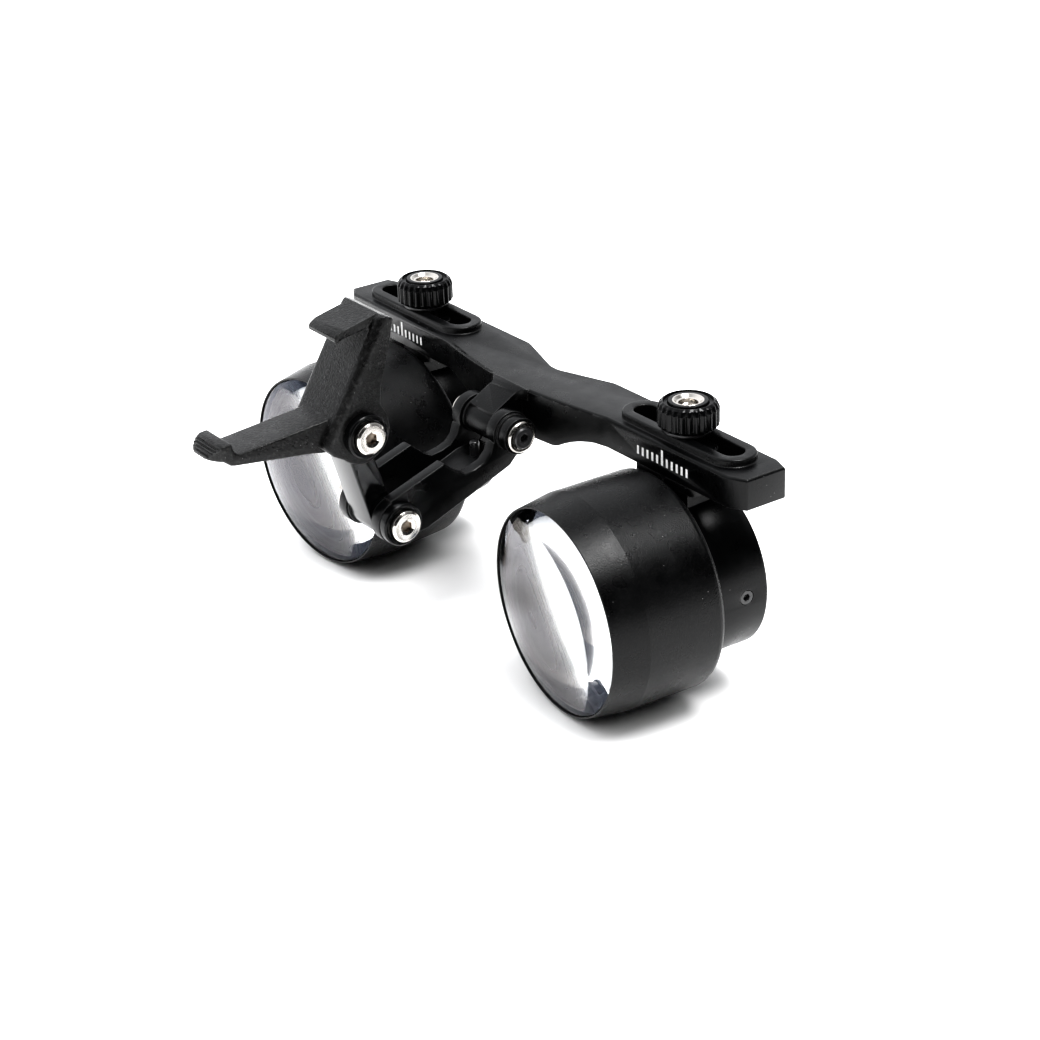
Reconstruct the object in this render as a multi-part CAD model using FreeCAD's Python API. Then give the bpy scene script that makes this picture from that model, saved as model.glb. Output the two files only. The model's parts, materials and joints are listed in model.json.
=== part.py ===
import FreeCAD
import Part
import math
import os

# Flip-up Galilean dental loupes: a slotted cross bar carries two telescopes on sliding carriages,
# and a jointed arm ends in a quick-release clip for the bridge of a spectacle frame.
# Millimetres. The model is laid out with X along the bar, -Y the way the objectives look and Z = 0
# on the bar's top face, and is shifted at the end so that the origin is the middle of the underside
# of its bounding box.

Vector = FreeCAD.Vector

# ---- driving dimensions --------------------------------------------------------------------------
bar_length = 91.7
bar_front = -0.55
bar_back = 8.0
bar_thickness = 4.3
bar_centre_front = -2.85      # the front edge swells forward to carry the hinge lug
bar_centre_depth = 6.9
bar_neck_back = 5.05          # the back edge is cut in behind the hinge

slot_y = 3.85
slot_half_length = 10.4
slot_half_width = 1.6
rim_height = 1.0
rim_wall = 1.6

pupil_half = 30.5             # half of the distance between the eyepieces at rest
travel = 5.0                  # each carriage slides this far either way
tick_pitch = 1.0
tick_count = 11
tick_width = 0.42
tick_depth = 0.06

knob_radius = 4.1
knob_bottom = 1.5
knob_top = 5.2
flute_count = 24
stud_radius = 1.25

barrel_y = -0.3
barrel_z = -18.85
convergence = 5.0             # each telescope turns in towards the working distance
declination = 2.0             # and looks down a little
ring_radius = 11.7
ring_back = -8.5
set_screw_at = -5.0           # height of the set screw along the telescope
tube_radius = 10.4
bell_radius = 15.1
bell_front_radius = 14.3
bell_back = 0.4
bell_cone_start = 12.2
bell_front = 17.3
glass_radius = 13.95
lens_seat = 13.4

hinge_y, hinge_z = -6.3, -5.0         # top hinge, bar to yoke
hinge_boss = 7.1              # the hinge boss on the +X cheek ends here
hinge_far_boss = 5.5          # and the one on the -X cheek here
lower_y, lower_z = -25.2, -12.8       # lower pivot, yoke to carrier
clip_y, clip_z = -29.8, 1.2           # clip pivot, carrier to clip

lug_half = 2.8
cheek_inner = 3.2             # inner faces of the yoke's cheeks
cheek_outer = 5.0
stop_screw_y = -9.1
carrier_half = 2.75
clip_inner = 3.05
clip_outer = 5.0
hook_half = 3.4
arm_half = 3.2
washer_gap = 0.02
pin_clearance = 0.05
pivot_face = 7.3              # outer face of the pivot screws
screw_head_radius = 2.2


# ---- small helpers -------------------------------------------------------------------------------
def box(x0, x1, y0, y1, z0, z1):
    return Part.makeBox(x1 - x0, y1 - y0, z1 - z0, Vector(x0, y0, z0))


def x_rod(radius, x0, x1, y, z):
    return Part.makeCylinder(radius, x1 - x0, Vector(x0, y, z), Vector(1, 0, 0))


def z_rod(radius, z0, z1, x, y):
    return Part.makeCylinder(radius, z1 - z0, Vector(x, y, z0), Vector(0, 0, 1))


def side_plate(points, x0, x1):
    """A plate between two X planes; its outline is a closed list of (y, z) points."""
    wire = Part.makePolygon([Vector(x0, y, z) for y, z in points + points[:1]])
    return Part.Face(wire).extrude(Vector(x1 - x0, 0, 0))


def turned(profile):
    """A ring turned about Z from a closed list of (radius, height) points."""
    wire = Part.makePolygon([Vector(r, 0, s) for r, s in profile + profile[:1]])
    return Part.Face(wire).revolve(Vector(0, 0, 0), Vector(0, 0, 1), 360)


def hexagon(across_flats, length):
    """A hexagonal prism along Z that starts at the origin, to cut a socket."""
    corner = across_flats / math.sqrt(3)
    points = [Vector(corner * math.cos(math.radians(60 * i)), corner * math.sin(math.radians(60 * i)), 0)
              for i in range(7)]
    return Part.Face(Part.makePolygon(points)).extrude(Vector(0, 0, length))


def along_x(shape, x, y, z, towards=1):
    """Stand a shape made along Z on the point (x, y, z), pointing along +X or -X."""
    placed = shape.copy()
    placed.Placement = FreeCAD.Placement(Vector(x, y, z), FreeCAD.Rotation(Vector(0, 1, 0), 90 * towards))
    return placed


def mirrored(shape):
    return shape.mirror(Vector(0, 0, 0), Vector(1, 0, 0))


def both_sides(shape):
    """One node of two equal pieces, one each side of the middle plane."""
    return Part.makeCompound([shape, mirrored(shape)])


def fuse(first, *others):
    return first.multiFuse(list(others)).removeSplitter()


def stadium(half_length, half_width, z0, z1, x, y):
    """An upright block with round ends."""
    straight = half_length - half_width
    body = box(x - straight, x + straight, y - half_width, y + half_width, z0, z1)
    ends = [z_rod(half_width, z0, z1, x + side * straight, y) for side in (-1, 1)]
    return fuse(body, *ends)


def edges_where(shape, test):
    return [edge for edge in shape.Edges if test(edge)]


# ---- cross bar -----------------------------------------------------------------------------------
def bar_plan():
    """The bar from above: chamfered ends, a front edge that swells to the hinge, a necked back edge."""
    end = bar_length / 2
    swell_end = 18.8
    swell_start = 3.0
    right = [(swell_end, bar_front), (end - 2.4, bar_front), (end, bar_front + 1.3), (end, bar_back - 0.9),
             (end - 2.6, bar_back), (9.9, bar_back), (0.9, bar_neck_back)]
    left = [(-x, y) for x, y in reversed(right)]
    outline = [Vector(x, y, 0) for x, y in right + left]
    edges = [Part.makeLine(a, b) for a, b in zip(outline, outline[1:])]
    swell_mid = (11.0, bar_front + 0.62 * (bar_centre_front - bar_front))
    left_swell = [Vector(-swell_end, bar_front, 0), Vector(-swell_mid[0], swell_mid[1], 0),
                  Vector(-swell_start, bar_centre_front, 0)]
    right_swell = [Vector(-p.x, p.y, 0) for p in reversed(left_swell)]
    edges.append(Part.Arc(*left_swell).toShape())
    edges.append(Part.makeLine(left_swell[2], right_swell[0]))
    edges.append(Part.Arc(*right_swell).toShape())
    return Part.Face(Part.Wire(edges))


def bar_front_view():
    """The bar seen from the front: it deepens in a soft arch towards the hinge block."""
    end = bar_length / 2
    right = [Vector(end, 0, 0), Vector(end, 0, -bar_thickness), Vector(16.6, 0, -bar_thickness)]
    shoulder = [right[-1], Vector(13.0, 0, -5.15), Vector(9.8, 0, -6.65)]
    corner = [shoulder[-1], Vector(9.1, 0, -6.85), Vector(8.3, 0, -bar_centre_depth)]
    edges = [Part.makeLine(a, b) for a, b in zip(right, right[1:])]
    edges += [Part.Arc(*shoulder).toShape(), Part.Arc(*corner).toShape()]
    halves = Part.Wire(edges)
    other = mirrored(halves)
    bottom = Part.makeLine(corner[-1], Vector(-corner[-1].x, 0, -bar_centre_depth))
    top = Part.makeLine(Vector(-end, 0, 0), Vector(end, 0, 0))
    return Part.Face(Part.Wire(Part.sortEdges(halves.Edges + other.Edges + [bottom, top])[0]))


def hinge_lug():
    """The tongue that runs forward and down from the bar's middle to the top hinge's knuckle."""
    knuckle = 2.35
    tongue = [(bar_centre_front + 2, 0), (bar_centre_front, -0.02), (-7.75, -2.75), (-7.55, -3.45),
              (hinge_y, -4.2), (hinge_y, hinge_z - knuckle), (bar_centre_front, -bar_centre_depth),
              (bar_centre_front + 2, -bar_centre_depth)]
    barrel = x_rod(knuckle, -lug_half, lug_half, hinge_y, hinge_z)
    lug = fuse(side_plate(tongue, -lug_half, lug_half), barrel)
    root = 1.4
    flare = box(-lug_half - root, lug_half + root, bar_centre_front - root, bar_centre_front + 0.5, -1.6, 0)
    for side in (-1, 1):
        scoop = z_rod(root, -2, 1, side * (lug_half + root), bar_centre_front - root)
        flare = flare.cut(scoop)
    under_slope = side_plate([(bar_centre_front + 0.6, 0), (bar_centre_front, 0),
                              (bar_centre_front - 2, -1.13), (bar_centre_front - 2, -3),
                              (bar_centre_front + 0.6, -3)], -6, 6)
    return fuse(lug, flare.common(under_slope))


def slot_rim(x):
    outer = stadium(slot_half_length + rim_wall, slot_half_width + rim_wall, -0.5, rim_height, x, slot_y)
    top_edges = edges_where(outer, lambda e: abs(e.BoundBox.ZMin - rim_height) < 1e-6)
    return outer.makeFillet(0.3, top_edges)


def slot_cut(x):
    return stadium(slot_half_length, slot_half_width, -bar_thickness - 1, rim_height + 1, x, slot_y)


def ticks(x, depth, proud=0.0):
    """The millimetre scale on the bar's front face: short ticks either side of a long one."""
    middle = tick_count // 2
    marks = []
    for i in range(tick_count):
        centre = x + (i - middle) * tick_pitch
        top = -0.75 if i == middle else -1.7
        marks.append(box(centre - tick_width / 2, centre + tick_width / 2, bar_front - proud,
                         bar_front + depth, -2.9, top))
    return marks


def cross_bar():
    plan = bar_plan()
    plan.translate(Vector(0, 0, -bar_centre_depth - 1))
    bar = plan.extrude(Vector(0, 0, bar_centre_depth + 1))
    view = bar_front_view()
    view.translate(Vector(0, -20, 0))
    bar = bar.common(view.extrude(Vector(0, 40, 0)))
    neck_corners = edges_where(bar, lambda e: e.BoundBox.XLength < 1e-6 and e.BoundBox.YLength < 1e-6
                               and abs(e.BoundBox.XMin) < 11 and e.BoundBox.YMin > 4)
    bar = bar.makeFillet(3.5, neck_corners)
    top_edges = edges_where(bar, lambda e: e.BoundBox.ZMin > -1e-6 and not
                            (abs(e.BoundBox.YMin - bar_centre_front) < 1e-3 and e.BoundBox.YLength < 1e-3))
    bar = bar.makeFillet(0.4, top_edges)
    bar = fuse(bar, hinge_lug(), *[slot_rim(side * pupil_half) for side in (-1, 1)])
    for side in (-1, 1):
        bar = bar.cut(slot_cut(side * pupil_half))
        bar = bar.cut(Part.makeCompound(ticks(side * pupil_half, tick_depth, 0.5)))
    return bar.cut(x_rod(1.45 + pin_clearance, -6, 6, hinge_y, hinge_z))


def scale_marks(side):
    return Part.makeCompound(ticks(side * pupil_half, tick_depth, 0.01))


# ---- telescopes ----------------------------------------------------------------------------------
def telescope_placement():
    """Places a shape made along +Z, the optical axis, in the right-hand barrel."""
    turn, dip = math.radians(convergence), math.radians(declination)
    ahead = Vector(-math.sin(turn) * math.cos(dip), -math.cos(turn) * math.cos(dip), -math.sin(dip))
    outward = ahead.cross(Vector(0, 0, 1))
    outward = Vector(-outward.x, -outward.y, 0).normalize()
    across = ahead.cross(outward)
    turned_frame = FreeCAD.Rotation(outward, across, ahead, "ZXY")
    return FreeCAD.Placement(Vector(pupil_half, barrel_y, barrel_z), turned_frame)


def in_barrel(shape):
    placed = shape.copy()
    placed.Placement = telescope_placement()
    return placed


def bell():
    """The objective housing: a cylinder that tapers to a fine rim round the glass."""
    shell = turned([(tube_radius, bell_back), (bell_radius, bell_back), (bell_radius, bell_cone_start),
                    (bell_front_radius, bell_front), (glass_radius + 0.03, bell_front),
                    (glass_radius + 0.03, lens_seat), (12.8, lens_seat), (12.8, lens_seat - 1.2),
                    (13.6, lens_seat - 2), (13.6, bell_back + 1.5), (11.7, bell_back + 1.5),
                    (11.7, bell_back + 5.4), (tube_radius, bell_back + 5.4)])
    back_edge = edges_where(shell, lambda e: e.BoundBox.ZMax < bell_back + 1e-6 and e.BoundBox.XMax > 15)
    return shell.makeFillet(1.1, back_edge)


def eyepiece_tube():
    """The inner tube: the bell screws on its front end, and the ocular sits against a lip at its back."""
    return turned([(tube_radius, -7.4), (tube_radius, bell_back + 5.4), (8.6, bell_back + 5.4), (8.6, -6.9),
                   (7.9, -6.9), (7.9, -7.4)])


def ocular_lens():
    """The negative eye lens, hollow on both faces."""
    blank = Part.makeCylinder(8.55, 3.0, Vector(0, 0, -6.9))
    rear_hollow = Part.makeSphere(34.0, Vector(0, 0, -6.9 - 33.0))
    front_hollow = Part.makeSphere(24.0, Vector(0, 0, -3.9 + 23.0))
    return blank.cut(rear_hollow).cut(front_hollow)


def ocular_retainer():
    ring = turned([(7.7, -3.85), (8.58, -3.85), (8.58, -2.4), (7.7, -2.4)])
    notch = box(-8.7, 8.7, -0.4, 0.4, -2.9, -2.3)
    return ring.cut(notch)


def objective_front():
    """The domed front element of the cemented objective; its edge stands just inside the bell's rim."""
    dome_radius = 38.0
    edge = bell_front - 0.15
    dome_centre = edge - math.sqrt(dome_radius ** 2 - glass_radius ** 2)
    blank = Part.makeCylinder(glass_radius, 10.0, Vector(0, 0, lens_seat + 1.9))
    dome = Part.makeSphere(dome_radius, Vector(0, 0, dome_centre))
    cemented = Part.makeSphere(60.0, Vector(0, 0, lens_seat + 1.9 - 60.0 + 1.0))
    return blank.common(dome).cut(cemented)


def objective_rear():
    """The rear element, cemented to the front one."""
    blank = Part.makeCylinder(glass_radius, 3.2, Vector(0, 0, lens_seat + 0.3))
    cemented = Part.makeSphere(59.98, Vector(0, 0, lens_seat + 1.9 - 60.0 + 1.0))
    hollow = Part.makeSphere(90.0, Vector(0, 0, lens_seat + 0.3 - 89.4))
    return blank.common(cemented).cut(hollow)


def objective_gasket():
    return turned([(12.85, lens_seat), (glass_radius, lens_seat), (glass_radius, lens_seat + 0.28),
                   (12.85, lens_seat + 0.28)])


def set_screw():
    """The grub screw on the outer side of the ring that locks the telescope in its carriage."""
    screw = Part.makeCylinder(1.0, 1.2).cut(hexagon(0.9, 0.8).translated(Vector(0, 0, 0.5)))
    seat = Vector(tube_radius + 0.05, 0, set_screw_at)
    screw.Placement = FreeCAD.Placement(seat, FreeCAD.Rotation(Vector(0, 1, 0), 90))
    return screw


# ---- carriages -----------------------------------------------------------------------------------
def carriage():
    """The slide under the bar, its key in the slot and the neck down to the barrel ring."""
    slide_top = -bar_thickness - washer_gap
    slide_bottom = -5.5
    plate = box(pupil_half - 6, pupil_half + 6, bar_front + 0.1, 7.5, slide_bottom, slide_top)
    upright = edges_where(plate, lambda e: e.BoundBox.ZLength > 1)
    plate = plate.makeFillet(0.8, upright)
    key = stadium(slot_half_length - travel - 0.2, slot_half_width - 0.05, slide_top - 0.5, -0.3,
                  pupil_half, slot_y)
    neck = box(pupil_half - 4.1, pupil_half + 4.1, 0.3, 7.0, -10.5, slide_top - 0.5)
    ring = in_barrel(Part.makeCylinder(ring_radius, 0.3 - ring_back, Vector(0, 0, ring_back)))
    back_edge = edges_where(ring, lambda e: e.Length > 70 and e.CenterOfMass.y > 4)
    ring = ring.makeFillet(0.5, back_edge)
    body = fuse(plate, key, neck, ring)
    bore = turned([(0, ring_back - 1), (8.9, ring_back - 1), (8.9, -7.45), (tube_radius + 0.02, -7.45),
                   (tube_radius + 0.02, 2), (0, 2)])
    body = body.cut(in_barrel(bore))
    screw_hole = Part.makeCylinder(1.05, 3.0, Vector(tube_radius - 1, 0, set_screw_at), Vector(1, 0, 0))
    body = body.cut(in_barrel(screw_hole))
    body = body.cut(index_notch(slide_top))
    return body.cut(z_rod(stud_radius, -5.0, 1, pupil_half, slot_y))


def index_notch(top):
    """The small V under the scale that reads the eyepiece distance."""
    half = 0.5
    points = [Vector(pupil_half - half, -2, top + 0.1), Vector(pupil_half, -2, top - 0.75),
              Vector(pupil_half + half, -2, top + 0.1)]
    face = Part.Face(Part.makePolygon(points + points[:1]))
    return face.extrude(Vector(0, 2 + bar_front + 0.35, 0))


def clamp_stud():
    stud = z_rod(stud_radius, -5.0, 4.1, pupil_half, slot_y)
    top = edges_where(stud, lambda e: e.BoundBox.ZMin > 4)
    return stud.makeChamfer(0.3, top)


def stud_washer():
    washer = z_rod(3.3, rim_height + washer_gap, knob_bottom - 0.05, pupil_half, slot_y)
    return washer.cut(z_rod(stud_radius + pin_clearance, 0, 3, pupil_half, slot_y))


# ---- clamp knobs ---------------------------------------------------------------------------------
def clamp_knob():
    """A fluted thumb nut with a turned groove around the steel insert in its top."""
    shoulder = knob_top - 0.05
    groove = knob_top - 0.45
    knob = turned([(0, knob_bottom), (3.5, knob_bottom), (knob_radius, knob_bottom + 0.5),
                   (knob_radius, knob_top - 0.7), (knob_radius - 0.6, shoulder), (3.35, shoulder),
                   (3.2, groove), (2.75, groove), (2.6, knob_top), (0, knob_top)])
    reach = knob_radius + 0.12
    flutes = []
    for i in range(flute_count):
        angle = 2 * math.pi * i / flute_count
        x, y = reach * math.cos(angle), reach * math.sin(angle)
        flutes.append(z_rod(0.34, knob_bottom - 1, knob_top + 1, x, y))
    knob = knob.cut(Part.makeCompound(flutes))
    knob = knob.cut(turned(insert_outline()))
    return knob.translated(Vector(pupil_half, slot_y, 0))


def insert_outline():
    return [(0, knob_bottom - 1), (1.75, knob_bottom - 1), (1.75, knob_top - 0.9), (2.1, knob_top - 0.9),
            (2.1, knob_top + 1), (0, knob_top + 1)]


def knob_insert():
    """The threaded steel bush pressed in the knob, with a polished cone at its mouth."""
    bore = stud_radius + pin_clearance
    bush = turned([(bore, knob_bottom), (1.75, knob_bottom), (1.75, knob_top - 0.9), (2.1, knob_top - 0.9),
                   (2.1, knob_top + 0.02), (1.95, knob_top + 0.02), (bore, knob_top - 0.75)])
    return bush.translated(Vector(pupil_half, slot_y, 0))


# ---- pivots --------------------------------------------------------------------------------------
def pivot_screw(y, z, shank_end):
    """A low polished cap screw across the arm, its head towards +X."""
    head_height = 1.4
    head = Part.makeCylinder(screw_head_radius, head_height)
    head = head.makeChamfer(0.3, edges_where(head, lambda e: e.BoundBox.ZMin > head_height - 1e-6))
    shank = Part.makeCylinder(1.0, pivot_face - head_height - shank_end, Vector(0, 0, shank_end - pivot_face
                                                                              + head_height))
    screw = fuse(head, shank).cut(hexagon(1.5, 1).translated(Vector(0, 0, 0.6)))
    return along_x(screw, pivot_face - head_height, y, z)


def pivot_nut(y, z, face, thread=1.0):
    """The round nut on the far end of a pivot, with two spanner flats."""
    nut = Part.makeCylinder(screw_head_radius, 1.6).cut(Part.makeCylinder(thread, 1.2))
    nut = nut.cut(box(-3, 3, screw_head_radius - 0.35, 3, 0.5, 2))
    nut = nut.cut(box(-3, 3, -3, 0.35 - screw_head_radius, 0.5, 2))
    return along_x(nut, face, y, z, towards=-1)


def pivot_collar(y, z, face):
    """The black cup washer that the screw head sinks into."""
    cup = turned([(1.02, 0), (3.0, 0), (3.0, 1.2), (2.8, 1.4), (2.3, 1.4), (2.3, 0.9), (1.02, 0.9)])
    return along_x(cup, face, y, z)


def pivot_bush(y, z, half_length):
    return x_rod(1.45, -half_length, half_length, y, z).cut(x_rod(1.02, -half_length, half_length, y, z))


def pivot_washers(y, z, inner, outer, radius):
    """Two thin friction washers, one each side of the moving part."""
    washer = x_rod(radius, inner + washer_gap, outer - washer_gap, y, z)
    return both_sides(washer.cut(x_rod(1.47, 0, 9, y, z)))


# ---- yoke ----------------------------------------------------------------------------------------
def yoke():
    """Two cheeks and a floor: ears at both pivots and a hollow that clears the bar when folded over."""
    ear, foot = 2.95, 3.1
    cheek_outline = [(-9.3, -5.9), (-9.75, -7.2), (-10.9, -8.35), (-12.4, -8.85), (-14.1, -9.1),
                     (-15.2, -8.45), (-17.4, -6.6), (-26.2, -9.57), (-25.2, lower_z), (-24.6, -15.55), (-19.8, -14.95),
                     (-13.5, -12.6), (-6.9, -10.05), (-5.3, -8.4), (-4.2, -7.2), (hinge_y, hinge_z)]
    cheek = side_plate(cheek_outline, cheek_inner, cheek_outer)
    cheek = fuse(cheek, x_rod(ear, cheek_inner, cheek_outer, hinge_y, hinge_z),
                 x_rod(foot, cheek_inner, cheek_outer, lower_y, lower_z))
    rails = edges_where(cheek, lambda e: abs(e.BoundBox.XMin - cheek_outer) < 1e-6
                        and e.BoundBox.XLength < 1e-6 and e.CenterOfMass.y < -10 and e.CenterOfMass.y > -20)
    cheek = cheek.makeChamfer(0.2, rails)
    floor = side_plate([(-5.9, -8.95), (-6.9, -10.05), (-13.5, -12.6), (-18.0, -14.27), (-18.5, -12.5),
                        (-14.2, -10.9), (-9.9, -9.25), (-7.6, -8.9)], -cheek_inner - 0.2, cheek_inner + 0.2)
    near_boss = x_rod(2.6, cheek_outer - 0.5, hinge_boss, hinge_y, hinge_z)
    neck_ring = x_rod(3.0, cheek_outer + 0.35, cheek_outer + 0.75, hinge_y, hinge_z)
    near_boss = near_boss.cut(neck_ring.cut(x_rod(2.3, 0, 9, hinge_y, hinge_z)))
    far_boss = x_rod(2.6, -hinge_far_boss, 0.5 - cheek_outer, hinge_y, hinge_z)
    body = fuse(cheek, mirrored(cheek), floor, near_boss, far_boss)
    body = body.cut(x_rod(1.46, -9, 9, hinge_y, hinge_z))
    body = body.cut(x_rod(1.02, -9, 9, lower_y, lower_z))
    return body.cut(stop_screw_hole())


def stop_screw_hole():
    return z_rod(0.7, -14, -7, 0, stop_screw_y)


def stop_screw():
    """The small screw in the yoke's floor whose tip meets the lug when the arm is swung over the bar."""
    bottom, top = -10.6, -7.1
    screw = z_rod(0.7, bottom, top, 0, stop_screw_y)
    tip = edges_where(screw, lambda e: e.BoundBox.ZMin > top - 0.1)
    screw = screw.makeFillet(0.3, tip)
    return screw.cut(hexagon(0.7, 0.8).translated(Vector(0, stop_screw_y, bottom)))


def top_hinge_sleeve():
    """The polished hinge pin: a tube with a flange that shows as a bright ring."""
    flange_start = hinge_boss
    far_end = -hinge_far_boss
    sleeve = turned([(0.82, far_end), (1.45, far_end), (1.45, flange_start), (2.25, flange_start),
                     (2.25, flange_start + 0.35), (2.0, flange_start + 0.6), (1.55, flange_start + 0.6),
                     (1.55, flange_start + 0.1), (0.82, flange_start + 0.1)])
    return along_x(sleeve, 0, hinge_y, hinge_z)


def top_hinge_screw():
    """The black tension screw inside the hinge pin."""
    head_start = hinge_boss + 0.1
    head = Part.makeCylinder(1.5, 0.9, Vector(0, 0, head_start))
    head = head.makeChamfer(0.15, edges_where(head, lambda e: e.BoundBox.ZMin > head_start + 0.8))
    shank_end = -hinge_far_boss - 0.6
    shank = Part.makeCylinder(0.8, head_start - shank_end, Vector(0, 0, shank_end))
    screw = fuse(head, shank).cut(hexagon(1.3, 1).translated(Vector(0, 0, head_start + 0.3)))
    return along_x(screw, 0, hinge_y, hinge_z)


def top_hinge_nut():
    """The low round nut that draws the tension screw up from the far side."""
    nut = Part.makeCylinder(1.9, 1.0).cut(Part.makeCylinder(0.82, 0.7))
    nut = nut.cut(box(-2, 2, -0.3, 0.3, 0.65, 1.1))
    return along_x(nut, -hinge_far_boss - 0.02, hinge_y, hinge_z, towards=-1)


# ---- carrier and clip ----------------------------------------------------------------------------
def carrier():
    """The link between the yoke and the clip: a flat-faced bar with a knuckle at each end."""
    upper, lower = 2.15, 2.7
    reach = Vector(0, clip_y - lower_y, clip_z - lower_z)
    back = 1.15
    upward = Vector(reach).normalize()
    forward = Vector(0, -upward.z, upward.y)
    low, high = Vector(0, lower_y, lower_z), Vector(0, clip_y, clip_z)
    corners = [low + forward * lower, low - forward * back, high - forward * back, high + forward * upper]
    slab = side_plate([(p.y, p.z) for p in corners], -carrier_half, carrier_half)
    body = fuse(slab, x_rod(upper, -carrier_half, carrier_half, clip_y, clip_z),
                x_rod(lower, -carrier_half, carrier_half, lower_y, lower_z))
    for y, z in ((clip_y, clip_z), (lower_y, lower_z)):
        body = body.cut(x_rod(1.45 + pin_clearance, -5, 5, y, z))
    return body


def clip_front(z):
    """Where the clip's front wall stands at a height: it leans back towards its top."""
    return -25.8 - 0.6 * (16.9 - z)


def thumb_arm():
    """The release arm: a tapering tongue that ends in a raised, ribbed tip with a rounded plan."""
    top = [(clip_front(3.8) + 1, 3.8), (clip_front(3.8), 3.8), (-47.0, 2.6), (-47.6, 2.85), (-47.9, 3.4)]
    raised_tip = [(-48.1, 4.35), (-49.4, 4.25), (-49.8, 4.0), (-51.25, 2.85), (-51.2, 2.45), (-49.4, 2.1)]
    underside = [(-48.4, 1.3), (-47.8, 1.15), (-42.5, 0.42), (-36.3, -0.4), (-34.6, -0.75), (-33.9, 0.9)]
    arm = side_plate(top + raised_tip + underside, -arm_half, arm_half)
    tip, corner = -51.3, 2.4
    plan = box(-arm_half, arm_half, tip + corner, -30, -3, 6)
    plan = fuse(plan, box(corner - arm_half, arm_half - corner, tip, -30, -3, 6),
                *[z_rod(corner, -3, 6, side * (arm_half - corner), tip + corner) for side in (-1, 1)])
    arm = arm.common(plan)
    groove_count = 4
    grooves = []
    for i in range(groove_count):
        along = (i + 0.4) / groove_count
        grooves.append(x_rod(0.15, -6, 6, -49.8 - 1.45 * along, 4.0 - 1.15 * along))
    return arm.cut(Part.makeCompound(grooves))


def frame_clip():
    """The moulded clip: a wall between two side webs, a lipped hook above and a thumb arm below."""
    front = [(-24.1, 15.9), (-25.6, 16.5), (clip_front(16.1), 16.1), (clip_front(0.6), 0.6), (-34.4, -0.8)]
    web_back = [(-31.1, -2.7), (clip_y, clip_z), (-25.9, 3.0), (-26.8, 4.6), (-26.6, 6.8), (-24.8, 13.1)]
    web = side_plate(front + web_back, clip_inner, clip_outer)
    web = fuse(web, x_rod(4.2, clip_inner, clip_outer, clip_y, clip_z))
    wall_back = [(-33.9, 0.9), (clip_front(2.5) + 1.7, 2.5), (clip_front(13) + 1.6, 13.0)]
    wall = side_plate(front + wall_back, -clip_outer, clip_outer)
    hook = side_plate([(-25.5, 16.5), (-31.3, 15.2), (-31.95, 14.8), (-32.15, 14.3), (-32.0, 13.85),
                       (-31.5, 13.8), (-31.2, 14.1), (-27.0, 14.8), (-26.0, 14.9)], -hook_half, hook_half)
    back = fuse(web, mirrored(web), wall)
    front_edges = edges_where(back, lambda e: e.BoundBox.XLength < 1e-6 and e.BoundBox.ZLength > 9
                              and e.BoundBox.YLength > 0.55 * e.BoundBox.ZLength
                              and abs(e.CenterOfMass.x) > clip_outer - 0.01)
    back = back.makeChamfer(0.7, front_edges)
    body = fuse(back, hook, thumb_arm())
    return body.cut(x_rod(1.02, -9, 9, clip_y, clip_z))


# ---- all nodes -----------------------------------------------------------------------------------
def all_nodes():
    nodes = {"cross_bar": cross_bar(), "left_scale": scale_marks(-1), "right_scale": scale_marks(1)}
    right = {"carriage": carriage(), "clamp_stud": clamp_stud(), "stud_washer": stud_washer(),
             "clamp_knob": clamp_knob(), "knob_insert": knob_insert()}
    telescope = {"set_screw": set_screw(), "bell": bell(), "eyepiece_tube": eyepiece_tube(),
                 "ocular_lens": ocular_lens(), "ocular_retainer": ocular_retainer(),
                 "objective_front": objective_front(), "objective_rear": objective_rear(),
                 "objective_gasket": objective_gasket()}
    for name, shape in telescope.items():
        right[name] = in_barrel(Part.makeCompound([shape]))
    for name, shape in right.items():
        nodes["right_" + name] = shape
        nodes["left_" + name] = mirrored(shape)
    nodes["yoke"] = yoke()
    nodes["stop_screw"] = stop_screw()
    nodes["top_hinge_sleeve"] = top_hinge_sleeve()
    nodes["top_hinge_screw"] = top_hinge_screw()
    nodes["top_hinge_nut"] = top_hinge_nut()
    nodes["top_hinge_washers"] = pivot_washers(hinge_y, hinge_z, lug_half, cheek_inner, 2.55)
    nodes["lower_pivot_screw"] = pivot_screw(lower_y, lower_z, -6.4)
    nodes["lower_pivot_nut"] = pivot_nut(lower_y, lower_z, -cheek_outer - 0.6)
    nodes["lower_pivot_collar"] = pivot_collar(lower_y, lower_z, cheek_outer)
    nodes["lower_pivot_bush"] = pivot_bush(lower_y, lower_z, cheek_inner)
    nodes["lower_pivot_washers"] = pivot_washers(lower_y, lower_z, carrier_half, cheek_inner, 2.9)
    nodes["carrier"] = carrier()
    nodes["frame_clip"] = frame_clip()
    nodes["clip_pivot_screw"] = pivot_screw(clip_y, clip_z, -6.4)
    nodes["clip_pivot_nut"] = pivot_nut(clip_y, clip_z, -clip_outer - 0.6)
    nodes["clip_pivot_collar"] = pivot_collar(clip_y, clip_z, clip_outer)
    nodes["clip_pivot_bush"] = pivot_bush(clip_y, clip_z, clip_inner)
    nodes["clip_pivot_washers"] = pivot_washers(clip_y, clip_z, carrier_half, clip_inner, 2.1)
    return nodes


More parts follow.
